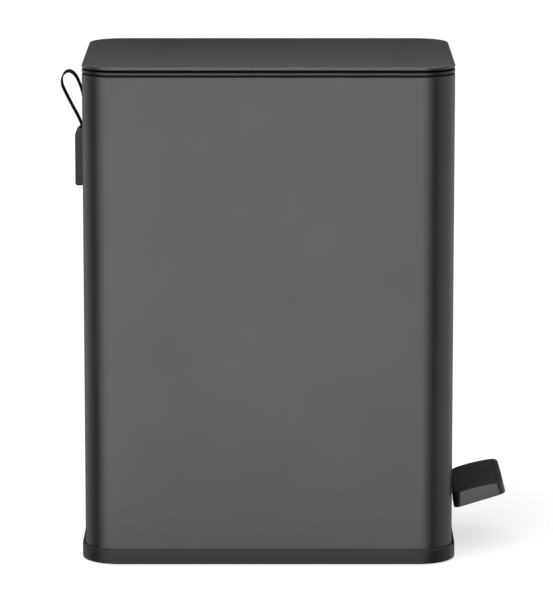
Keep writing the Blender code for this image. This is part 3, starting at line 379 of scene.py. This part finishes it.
def make_rim():
    """The collar between the body and the lid, with its ledge and the web behind the bucket."""
    low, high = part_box("rim_collar")
    edge = 0.0006
    top, bottom = high[2] - edge, low[2]
    lip, ledge_top, ledge_bottom = 0.5342, 0.5315, 0.5295
    skirt_outer, skirt_inner, groove = 0.0013, 0.0033, 0.0024
    ring_inner, ledge_inner, corner = 0.0055, 0.0130, 0.0005
    profile = [(skirt_outer, bottom), (skirt_outer, BODY_TOP - 2 * edge)]
    profile += [(groove, BODY_TOP - edge), (groove, lip)]
    profile += arc((edge, lip + edge), edge, 270, 180, 4)
    profile += arc((edge, top - edge), edge, 180, 90, 4)
    profile += arc((ring_inner - edge, top - edge), edge, 90, 0, 4)
    profile += [(ring_inner, ledge_top), (ledge_inner - corner, ledge_top)]
    profile += [(ledge_inner, ledge_top - corner), (ledge_inner, ledge_bottom)]
    profile += [(0.0040, ledge_bottom), (skirt_inner, ledge_bottom - 0.001), (skirt_inner, bottom)]
    collar = loft("rim", [body_loop(*p) for p in profile], closed=True)
    hinge_half, hinge_depth = 0.052, 0.0062
    notch_low = (WALL_X - TOOL_MARGIN, -hinge_half, 0.51)
    notch = block("notch_tool", notch_low, (WALL_X + hinge_depth, hinge_half, 0.545))
    crank_low = (WALL_X + 0.004, -0.007, 0.52)
    slot = block("crank_tool", crank_low, (rod_place() + 0.0112, 0.014, 0.54))
    web_inner, web_half, into_ledge = -0.1671, 0.1185, 0.0001
    outline = [(WALL_X + 0.012, -0.110), (WALL_X + 0.019, -web_half), (web_inner, -web_half)]
    outline += [(x, -y) for x, y in reversed(outline)]
    heights = (ledge_bottom + into_ledge, ledge_top - into_ledge)
    web = loft("web", [[(MIDDLE_X + x, y, z) for x, y in outline] for z in heights])
    join = collar.modifiers.new("join", "BOOLEAN")
    join.operation = "UNION"
    join.solver = "EXACT"
    join.object = web
    apply_modifiers(collar)
    bpy.data.objects.remove(web, do_unlink=True)
    cut(collar, notch, slot)
    place(collar, rim_plastic, "can", "black_plastic", "rim_collar")
    # Faces below the lip, in the groove and beneath it, and faces on the collar's top get the darker plastic:
    # painted shade in the groove and in the gap under the lid.
    lowest, highest = lip + edge / 2, top - edge / 2
    face_material(collar, painted_shade_plastic, lambda centre: centre.z < lowest or centre.z > highest)


LID_OVERHANG = 0.0002


def lid_loop(inset, height):
    """The lid's outline at a height, moved inwards by an inset."""
    return body_loop(inset - LID_OVERHANG, height)


def make_lid():
    """The pressed lid, with a very slight crown and an edge that is rolled under."""
    low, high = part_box("lid_shell")
    bottom, crest = low[2], high[2]
    crown = 0.0002
    top = crest - crown
    edge, hem, fold = 0.0021, 0.0013, 0.0004
    middle = top - edge
    profile = [(edge + 0.001, top - SHEET), (SHEET + fold, middle), (SHEET + fold, middle - 2 * fold)]
    profile += [(hem, bottom + fold), (hem, bottom)]
    hem_steps = 6
    for step in range(1, hem_steps + 1):
        angle = radians(90 - 90 * step / hem_steps)
        profile.append((hem * (1 - cos(angle)), middle - (middle - bottom) * sin(angle)))
    profile += arc((edge, middle), edge, 170, 90, 8)
    profile += [(0.006, top + 0.3 * crown), (0.014, top + 0.7 * crown), (0.035, crest)]
    lid = loft("lid", [lid_loop(*p) for p in profile], sharp=50)
    place(lid, steel, "lid", "painted_steel", "lid_shell")


def make_liner():
    """The moulded inside of the lid."""
    low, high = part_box("lid_liner")
    top, panel, skirt, edge_z = high[2], 0.5375, low[2], 0.5397
    soft, outer, bend, rib_inner, rib_outer = 0.0004, 0.0020, 0.0022, 0.0160, 0.0140
    profile = [(0.0185, panel), (0.0172, panel + 0.0003), (0.0165, panel), (rib_inner, panel - soft)]
    profile += [(rib_inner - 0.0001, skirt + 0.0003), (rib_inner - soft, skirt)]
    profile += [(rib_outer + 0.0006, skirt), (rib_outer + 0.0002, skirt + 0.0003)]
    profile += [(rib_outer, edge_z - soft), (rib_outer - soft, edge_z)]
    profile += [(outer + soft, edge_z), (outer, edge_z + soft)]
    profile += [(outer, top - 0.0024), (outer + bend, top), (0.0300, top)]
    liner = loft("liner", [lid_loop(*p) for p in profile])
    bracket_half = 0.040
    gap_low = (WALL_X + 0.010, -bracket_half, 0.53)
    gap = block("gap_tool", gap_low, (WALL_X + 0.0185, bracket_half, panel + 0.0001))
    cut(liner, gap)
    # The liner gets the darker, duller plastic: painted shade in the gap under the lid.
    place(liner, painted_shade_plastic, "lid", "black_plastic", "lid_liner")


def bucket_loop(low, high, inset, height):
    centre_x = (low[0] + high[0]) / 2
    outline = rounded_rectangle(high[0] - low[0] - 2 * inset, high[1] - low[1] - 2 * inset, 0.034 - inset, 16)
    return [(centre_x + x, y, height) for x, y in outline]


def make_bucket():
    """The lift-out bucket, with a rounded rim, tapered walls and a rounded foot."""
    low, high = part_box("inner_bucket")
    bottom, top = low[2], high[2]
    flange, draft, wall, thick, floor = 0.0075, 0.006, 0.0018, 0.002, 0.0022
    lip, brow, foot_steps = 0.0010, 0.0014, 5
    outer_foot, inner_foot = (0.007, 0.008), (0.006, 0.007)
    under = top - thick
    profile = []
    for step in range(foot_steps + 1):
        angle = radians(90 * step / foot_steps)
        out = outer_foot[0] * (1 - sin(angle))
        profile.append((flange + draft + out, bottom + outer_foot[1] * (1 - cos(angle))))
    profile += [(flange + draft / 2, (bottom + under) / 2), (flange, under), (0.0006, under)]
    profile += arc((lip, under + lip), lip, 200, 90, 4)
    profile += arc((flange + wall - brow, top - brow), brow, 90, 0, 5)
    profile += [(flange + draft / 2 + wall, (bottom + under) / 2)]
    for step in range(foot_steps + 1):
        angle = radians(90 * (foot_steps - step) / foot_steps)
        out = inner_foot[0] * (1 - sin(angle))
        profile.append((flange + draft + wall + out, bottom + floor + inner_foot[1] * (1 - cos(angle))))
    bucket = loft("bucket", [bucket_loop(low, high, *p) for p in profile])
    middle = (low[0] + high[0]) / 2
    grip_z, grip_radius, grip_half_x, grip_half_z = 0.501, 0.010, 0.0375, 0.003
    grip = []
    for side_x, side_z, start in ((1, 1, 0), (-1, 1, 90), (-1, -1, 180), (1, -1, 270)):
        for step in range(9):
            angle = radians(start + 90 * step / 8)
            x = middle + side_x * grip_half_x + grip_radius * cos(angle)
            grip.append((x, grip_z + side_z * grip_half_z + grip_radius * sin(angle)))
    sides = (low[1] - TOOL_MARGIN, high[1] + TOOL_MARGIN)
    tool = loft("grip_tool", [[(x, y, z) for x, z in grip] for y in sides])
    cut(bucket, tool)
    place(bucket, grey, "can", "grey_plastic", "inner_bucket")


# ---- pedal ---------------------------------------------------------------------------------------
PAD_TILT = radians(17.2)
PAD_LENGTH = 0.0595
PAD_WIDTH = 0.116
PAD_THICK = 0.016
PAD_ARCH = 0.0022
PAD_TAPER = 0.0013
PAD_CORNER = 0.0085
PAD_CENTRE = Vector((MIDDLE_X + 0.2302, 0.0, 0.0612))


def on_pad(x, y, up):
    """A point given in the pad's own tilted axes."""
    return PAD_CENTRE + Euler((0, -PAD_TILT, 0)).to_matrix() @ Vector((x, y, up))


def pad_rise(x):
    """How far the pad's top stands above its level at a place along it."""
    along = 2 * x / PAD_LENGTH
    return PAD_ARCH * (1 - along**2) - PAD_TAPER * along


def pad_loop(inset, up, share=0.0):
    """A loop of the pad, its inner end upright beside the wall. share is how much of the arch it follows."""
    upright = (up + PAD_THICK / 2) * tan(PAD_TILT)
    length = PAD_LENGTH - 2 * inset - upright
    outline = rounded_rectangle(length, PAD_WIDTH - 2 * inset, PAD_CORNER - inset, 12, 10)
    return [on_pad(x + upright / 2, y, up + share * pad_rise(x + upright / 2)) for x, y in outline]


def make_pad():
    """The foot pad: rounded upper edge, hollow underside, and a recess for the tread. Its top border and most
    of its rounding are as dark as the tread."""
    half = PAD_THICK / 2
    edge, foot = 0.0028, 0.0010
    under = half - 0.0040
    profile = [(0.0032, under), (0.0026, -half)]
    profile += arc((foot, -half + foot), foot, 270, 180, 5)
    profile += [(i, u, 1.0) for i, u in arc((edge, half - edge), edge, 180, 90, 9)]
    profile += [(0.0052, half, 1.0), (0.0056, half - 0.0003, 1.0), (0.0057, half - 0.0010, 1.0)]
    pad = loft("pad", [pad_loop(*p) for p in profile])
    mouth_half, start, end, mouth_low, mouth_high = 0.0113, -0.040, -0.020, -0.012, under + 0.0001
    corners = ((start, mouth_low), (end, mouth_low), (end, mouth_high), (start, mouth_high))
    tool = loft("mouth_tool", [[on_pad(x, y, z) for x, z in corners] for y in (-mouth_half, mouth_half)])
    cut(pad, tool)
    place(pad, steel, "pedal", "painted_steel", "pedal_pad")
    level = Euler((0, PAD_TILT, 0)).to_matrix()
    dark_share = 0.85
    top_edge = half - edge * dark_share

    def on_top(centre):
        along, _, up = level @ (centre - PAD_CENTRE)
        return up > top_edge + pad_rise(along)

    face_material(pad, rubber, on_top)


def make_tread():
    """The rubber tread, with fine ribs across it."""
    top = PAD_THICK / 2 - 0.0001
    inset, corner, ribs, rib_height, thick = 0.0060, 0.0035, 22, 0.00020, 0.0007
    across, fade_x, fade_y = 12, 0.002, 0.0015
    inner = -PAD_LENGTH / 2 + inset + PAD_THICK * tan(PAD_TILT)
    outer = PAD_LENGTH / 2 - inset
    half = PAD_WIDTH / 2 - inset
    work = bmesh.new()
    rows = []
    count = ribs * 4
    for i in range(count + 1):
        x = inner + (outer - inner) * i / count
        to_end = min(x - inner, outer - x)
        short = max(0.0, corner - to_end)
        reach = half - corner + sqrt(max(corner**2 - short**2, 0.0))
        row = []
        for j in range(across + 1):
            y = -reach + 2 * reach * j / across
            fade = min(1.0, to_end / fade_x) * min(1.0, (reach - abs(y)) / fade_y)
            rib = rib_height * (0.5 - 0.5 * cos(2 * pi * ribs * i / count)) * fade
            row.append(work.verts.new(on_pad(x, y, top + rib + pad_rise(x))))
        rows.append(row)
    for one, two in zip(rows, rows[1:]):
        for j in range(across):
            work.faces.new((one[j], two[j], two[j + 1], one[j + 1]))
    wall = bmesh.ops.extrude_edge_only(work, edges=[e for e in work.edges if e.is_boundary])
    down = on_pad(0, 0, -thick) - on_pad(0, 0, 0)
    bmesh.ops.translate(work, verts=[v for v in wall["geom"] if isinstance(v, bmesh.types.BMVert)], vec=down)
    bmesh.ops.contextual_create(work, geom=[e for e in work.edges if e.is_boundary])
    bmesh.ops.recalc_face_normals(work, faces=work.faces)
    mesh = bpy.data.meshes.new("tread")
    work.to_mesh(mesh)
    work.free()
    place(show("tread", mesh, 50), rubber, "pedal", "rubber", "pedal_tread")


# ---- carry strap ---------------------------------------------------------------------------------
STRAP_WIDTH = 0.020
STRAP_THICK = 0.0018
STRAP_END_Z = 0.430
STRAP_SPACING = 0.0008
THIN_MIDDLE = 0.86


def smooth_path(knots, spacing):
    """Points along a Catmull-Rom curve through knots, about spacing apart."""
    first, last = Vector(knots[0]), Vector(knots[-1])
    ends = [2 * first - Vector(knots[1]), *map(Vector, knots), 2 * last - Vector(knots[-2])]
    points = []
    for a, b, c, d in zip(ends, ends[1:], ends[2:], ends[3:]):
        steps = max(1, round((c - b).length / spacing))
        for step in range(steps):
            t = step / steps
            square, cube = 2 * a - 5 * b + 4 * c - d, 3 * b - a - 3 * c + d
            points.append(0.5 * (2 * b + (c - a) * t + square * t**2 + cube * t**3))
    return [*points, last]


def strap_knots():
    """The strap's middle line, as places along the can and heights. It starts against the wall inside the
    anchor, goes round the loop and ends in the anchor again."""
    gap = 0.0003
    on_wall = WALL_X - gap - STRAP_THICK / 2
    on_strap = on_wall - STRAP_THICK - gap
    return (
        (on_wall, STRAP_END_Z),
        (on_wall, 0.450),
        (on_wall, 0.472),
        (on_wall - 0.0006, 0.486),
        (-0.2038, 0.4990),
        (-0.2065, 0.5082),
        (-0.2098, 0.5158),
        (-0.2138, 0.5208),
        (-0.2184, 0.5228),
        (-0.2230, 0.5208),
        (-0.2260, 0.5150),
        (-0.2258, 0.5082),
        (-0.2230, 0.5010),
        (-0.2156, 0.4862),
        (-0.2087, 0.4730),
        (-0.2054, 0.4650),
        (-0.2039, 0.4580),
        (on_strap - 0.0001, 0.4510),
        (on_strap, 0.4450),
        (on_strap, STRAP_END_Z),
    )


def strap_section():
    """Half thickness and place across the strap, round its section, with round edges."""
    half, thick = STRAP_WIDTH / 2, STRAP_THICK / 2
    ys = [-half + thick + (STRAP_WIDTH - 2 * thick) * k / 14 for k in range(15)]
    angles = [radians(30 * step) for step in range(1, 6)]
    round_edge = [(thick * cos(a), half - thick + thick * sin(a)) for a in angles]
    section = [(thick, y) for y in ys] + round_edge
    section += [(-thick, y) for y in reversed(ys)]
    section += [(-out, -y) for out, y in round_edge]
    return section


def make_strap():
    """The woven strap: edges slightly thicker than the middle, and a UV map in millimetres for its weave."""
    path = smooth_path(strap_knots(), STRAP_SPACING)
    section = strap_section()
    work = bmesh.new()
    uv = work.loops.layers.uv.new("weave")
    rows, places, run = [], [], 0.0
    for index, point in enumerate(path):
        before, after = path[max(index - 1, 0)], path[min(index + 1, len(path) - 1)]
        if index:
            run += (point - path[index - 1]).length
        forward = (after - before).normalized()
        across = Vector((-forward[1], forward[0]))
        row = []
        for out, y in section:
            thin = THIN_MIDDLE + (1 - THIN_MIDDLE) * (abs(y) / (STRAP_WIDTH / 2)) ** 3
            offset = across * out * thin
            row.append(work.verts.new((MIDDLE_X + point[0] + offset[0], y, point[1] + offset[1])))
        rows.append(row)
        places.append(run)
    count = len(section)
    for index in range(len(rows) - 1):
        for k in range(count):
            after = (k + 1) % count
            corners = ((index, k), (index, after), (index + 1, after), (index + 1, k))
            face = work.faces.new([rows[row][column] for row, column in corners])
            for loop, at in zip(face.loops, corners):
                loop[uv].uv = (places[at[0]] * 1000, section[at[1]][1] * 1000)
    work.faces.new(rows[0])
    work.faces.new(list(reversed(rows[-1])))
    bmesh.ops.recalc_face_normals(work, faces=work.faces)
    mesh = bpy.data.meshes.new("strap")
    work.to_mesh(mesh)
    work.free()
    place(show("strap", mesh, 60), webbing, "can", "webbing", "carry_strap")


def make_anchor():
    """The moulding that the strap leaves from: a long soft curve at its top, rounded sides, an open mouth."""
    low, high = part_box("strap_anchor")
    further_out, lower = 0.0005, 0.0006
    face, back = low[0] - further_out, high[0]
    half, bottom, top = (high[1] - low[1]) / 2, low[2] - lower, high[2] - lower
    outline = [(back, bottom)]
    corner, curve_x, curve_z = 0.0025, 0.0070, 0.0085
    corner_steps, curve_steps = 8, 14
    for step in range(corner_steps + 1):
        angle = radians(90 * step / corner_steps)
        outline.append((face + corner * (1 - sin(angle)), bottom + corner * (1 - cos(angle))))
    for step in range(curve_steps + 1):
        angle = radians(90 * step / curve_steps)
        outline.append((face + curve_x * (1 - cos(angle)), top - curve_z * (1 - sin(angle))))
    outline.append((back, top))
    edge = 0.0020
    angles = [radians(15 * step) for step in range(7)]
    sections = [(-half + edge * (1 - cos(a)), edge * (1 - sin(a))) for a in angles]
    sections += [(-y, amount) for y, amount in reversed(sections)]
    middle_z, at_back = (bottom + top) / 2, 0.0005
    loops = []
    for y, amount in sections:
        loop = []
        for x, z in outline:
            moved = x + amount if x < back - at_back else x
            loop.append((moved, y, z + (amount if z < middle_z else -amount)))
        loops.append(loop)
    anchor = loft("anchor", loops, sharp=60)
    mouth = STRAP_WIDTH / 2 + 0.0006
    mouth_low = (WALL_X - 0.0067, -mouth, STRAP_END_Z - 0.0015)
    tool = block("mouth_tool", mouth_low, (WALL_X + TOOL_MARGIN, mouth, top + 0.0186))
    cut(anchor, tool)
    place(anchor, black, "can", "black_plastic", "strap_anchor")


# ---- carried-over CAD nodes ----------------------------------------------------------------------
def finish_cad_nodes():
    """Gives every CAD node its fine material, and small metal and plastic pieces softened edges."""
    for entry in frame["record"]["subparts"]:
        piece = nodes[entry["node"]]
        material = SLOT_MATERIALS[entry["material_slot"]]
        for slot in piece.material_slots:
            slot.material = material
        if entry["node"] not in REPLACED:
            soften(piece, CAD_BEVEL, 2)


REPLACED = (
    "body_shell base_tray rim_collar lid_shell lid_liner inner_bucket "
    "pedal_pad pedal_tread carry_strap strap_anchor"
).split()
CAD_BEVEL = 0.00025


# ---- stage ---------------------------------------------------------------------------------------
def make_floor():
    """A wide pale floor. The camera sees it lit and partly glowing, so that shadows on it stay soft.
    Reflections see the studio through it, a little shaded beside the can."""
    mesh = bpy.data.meshes.new("floor")
    reach = 30.0
    corners = [(-reach, -reach, 0), (reach, -reach, 0), (reach, reach, 0), (-reach, reach, 0)]
    mesh.from_pydata(corners, [], [(0, 1, 2, 3)])
    floor = bpy.data.objects.new("floor", mesh)
    bpy.context.scene.collection.objects.link(floor)
    material = bpy.data.materials.new("floor")
    material.use_nodes = True
    tree = material.node_tree
    tree.nodes.clear()

    def node(kind, **values):
        made = tree.nodes.new(kind)
        for name, value in values.items():
            made.inputs[name].default_value = value
        return made

    def mixed(factor, first, second):
        mix = tree.nodes.new("ShaderNodeMixShader")
        tree.links.new(factor, mix.inputs["Fac"])
        tree.links.new(first.outputs[0], mix.inputs[1])
        tree.links.new(second.outputs[0], mix.inputs[2])
        return mix

    lit = node("ShaderNodeBsdfDiffuse", Color=(FLOOR_TONE, FLOOR_TONE, FLOOR_TONE, 1))
    own = node("ShaderNodeEmission", Strength=FLOOR_GLOW)
    both = tree.nodes.new("ShaderNodeAddShader")
    tree.links.new(lit.outputs[0], both.inputs[0])
    tree.links.new(own.outputs[0], both.inputs[1])
    dim = node("ShaderNodeBsdfDiffuse", Color=(DIM_TONE, DIM_TONE, DIM_TONE, 1))
    far = tree.nodes.new("ShaderNodeVectorMath")
    far.operation = "LENGTH"
    tree.links.new(tree.nodes.new("ShaderNodeTexCoord").outputs["Object"], far.inputs[0])
    shade = tree.nodes.new("ShaderNodeMapRange")
    shade.interpolation_type = "SMOOTHSTEP"
    start, end = SHADE_REACH
    for name, value in (("From Min", start), ("From Max", end), ("To Min", NEAR_SHADE), ("To Max", 0.0)):
        shade.inputs[name].default_value = value
    tree.links.new(far.outputs["Value"], shade.inputs["Value"])
    clear = node("ShaderNodeBsdfTransparent")
    dark = node("ShaderNodeEmission", Strength=0.0)
    near = mixed(shade.outputs["Result"], clear, dark)
    ray = tree.nodes.new("ShaderNodeLightPath")
    bounced = mixed(ray.outputs["Is Glossy Ray"], dim, near)
    out = tree.nodes.new("ShaderNodeOutputMaterial")
    tree.links.new(mixed(ray.outputs["Is Camera Ray"], bounced, both).outputs[0], out.inputs["Surface"])
    floor.data.materials.append(material)


FLOOR_GLOW = 0.67
FLOOR_TONE = 0.42
DIM_TONE = 0.30
NEAR_SHADE = 0.28
SHADE_REACH = (0.15, 0.95)
# How bright the studio is round the object: the direction in degrees, 0 in front and 90 to the right, and the
# brightness there. OVERHEAD is its brightness above, and UNDERFOOT far below the horizon.
STUDIO = (
    (-180, 0.02),
    (-160, 0.18),
    (-140, 0.58),
    (-118, 0.52),
    (-100, 0.24),
    (-86, 0.06),
    (-74, 0.05),
    (-60, 0.60),
    (-48, 1.05),
    (-36, 1.20),
    (-8, 1.20),
    (8, 1.16),
    (20, 0.92),
    (31, 0.45),
    (42, 0.06),
    (54, 0.05),
    (66, 0.26),
    (80, 0.44),
    (112, 0.54),
    (145, 0.60),
    (162, 0.18),
    (180, 0.02),
)
OVERHEAD = 1.60
OVERHEAD_FROM = (48, 72)
UNDERFOOT = 0.04
UNDERFOOT_TO = (-65, -28)


def make_world():
    """A studio's light by direction, and plain white behind the object."""
    world = bpy.data.worlds.new("studio")
    bpy.context.scene.world = world
    world.use_nodes = True
    tree = world.node_tree
    tree.nodes.clear()

    def by_height(start, end, before, after):
        """One colour below a height in degrees, and another above a second height."""
        above = tree.nodes.new("ShaderNodeMapRange")
        above.interpolation_type = "SMOOTHSTEP"
        above.inputs["From Min"].default_value = sin(radians(start))
        above.inputs["From Max"].default_value = sin(radians(end))
        tree.links.new(parts.outputs["Z"], above.inputs["Value"])
        mix = tree.nodes.new("ShaderNodeMix")
        mix.data_type = "RGBA"
        tree.links.new(above.outputs["Result"], mix.inputs["Factor"])
        sockets = [socket for socket in mix.inputs if socket.type == "RGBA"]
        for socket, colour in zip(sockets, (before, after)):
            if isinstance(colour, float):
                socket.default_value = (colour, colour, colour, 1.0)
            else:
                tree.links.new(colour, socket)
        return [socket for socket in mix.outputs if socket.type == "RGBA"][0]

    parts = tree.nodes.new("ShaderNodeSeparateXYZ")
    tree.links.new(tree.nodes.new("ShaderNodeTexCoord").outputs["Generated"], parts.inputs[0])
    back = tree.nodes.new("ShaderNodeMath")
    back.operation = "MULTIPLY"
    back.inputs[1].default_value = -1.0
    tree.links.new(parts.outputs["Y"], back.inputs[0])
    turn = tree.nodes.new("ShaderNodeMath")
    turn.operation = "ARCTAN2"
    tree.links.new(parts.outputs["X"], turn.inputs[0])
    tree.links.new(back.outputs[0], turn.inputs[1])
    around = tree.nodes.new("ShaderNodeMapRange")
    around.inputs["From Min"].default_value = -pi
    around.inputs["From Max"].default_value = pi
    tree.links.new(turn.outputs[0], around.inputs["Value"])
    ring = tree.nodes.new("ShaderNodeValToRGB")
    ring.color_ramp.interpolation = "EASE"
    stops = ring.color_ramp.elements
    while len(stops) < len(STUDIO):
        stops.new(0.5)
    for stop, (direction, _) in zip(stops, STUDIO):
        stop.position = (direction + 180) / 360
    for stop, (_, brightness) in zip(stops, STUDIO):
        stop.color = (brightness, brightness, brightness, 1.0)
    tree.links.new(around.outputs["Result"], ring.inputs["Fac"])
    lower = by_height(*UNDERFOOT_TO, UNDERFOOT, ring.outputs["Color"])
    light = tree.nodes.new("ShaderNodeBackground")
    tree.links.new(by_height(*OVERHEAD_FROM, lower, OVERHEAD), light.inputs["Color"])
    white = tree.nodes.new("ShaderNodeBackground")
    white.inputs["Color"].default_value = (1, 1, 1, 1)
    seen = tree.nodes.new("ShaderNodeLightPath")
    mix = tree.nodes.new("ShaderNodeMixShader")
    out = tree.nodes.new("ShaderNodeOutputWorld")
    tree.links.new(seen.outputs["Is Camera Ray"], mix.inputs["Fac"])
    tree.links.new(light.outputs[0], mix.inputs[1])
    tree.links.new(white.outputs[0], mix.inputs[2])
    tree.links.new(mix.outputs[0], out.inputs["Surface"])


def make_light(name, place, target, size, power, glossy, spread=180):
    """A rectangular light that the camera doesn't see. glossy says whether reflections do."""
    light = bpy.data.lights.new(name, "AREA")
    light.spread = radians(spread)
    light.shape = "RECTANGLE"
    light.size, light.size_y = size
    light.energy = power
    lamp = bpy.data.objects.new(name, light)
    lamp.location = place
    lamp.rotation_euler = (Vector(target) - Vector(place)).to_track_quat("-Z", "Y").to_euler()
    lamp.visible_glossy = glossy
    lamp.visible_camera = False
    bpy.context.scene.collection.objects.link(lamp)


CAMERA_LENS = 248.25
CAMERA_SIDE = 0.00856
CAMERA_DISTANCE = 4.4945
CAMERA_HEIGHT = 1.1065
CAMERA_TILT = 10.570


def make_camera():
    camera = bpy.data.cameras.new("camera")
    camera.lens = CAMERA_LENS
    camera.sensor_width = 36.0
    camera.clip_end = 200.0
    view = bpy.data.objects.new("camera", camera)
    view.location = (MIDDLE_X + CAMERA_SIDE, -CAMERA_DISTANCE, CAMERA_HEIGHT)
    view.rotation_euler = (radians(90 - CAMERA_TILT), 0, 0)
    bpy.context.scene.collection.objects.link(view)
    bpy.context.scene.camera = view


make_body()
make_base()
make_rim()
make_lid()
make_liner()
make_bucket()
make_pad()
make_tread()
make_strap()
make_anchor()
finish_cad_nodes()
make_floor()
make_world()
make_light("key", (-0.9, -0.8, 3.2), (0.1, 0.1, 0.0), size=(1.4, 1.4), power=45.0, glossy=False)
over_lid, lid_middle = (0.0, 0.62, 0.86), (0.0, -0.10, 0.54)
make_light("lid_light", over_lid, lid_middle, size=(0.9, 0.10), power=0.052, glossy=True, spread=70)
make_camera()
bpy.context.scene.view_settings.view_transform = "Standard"
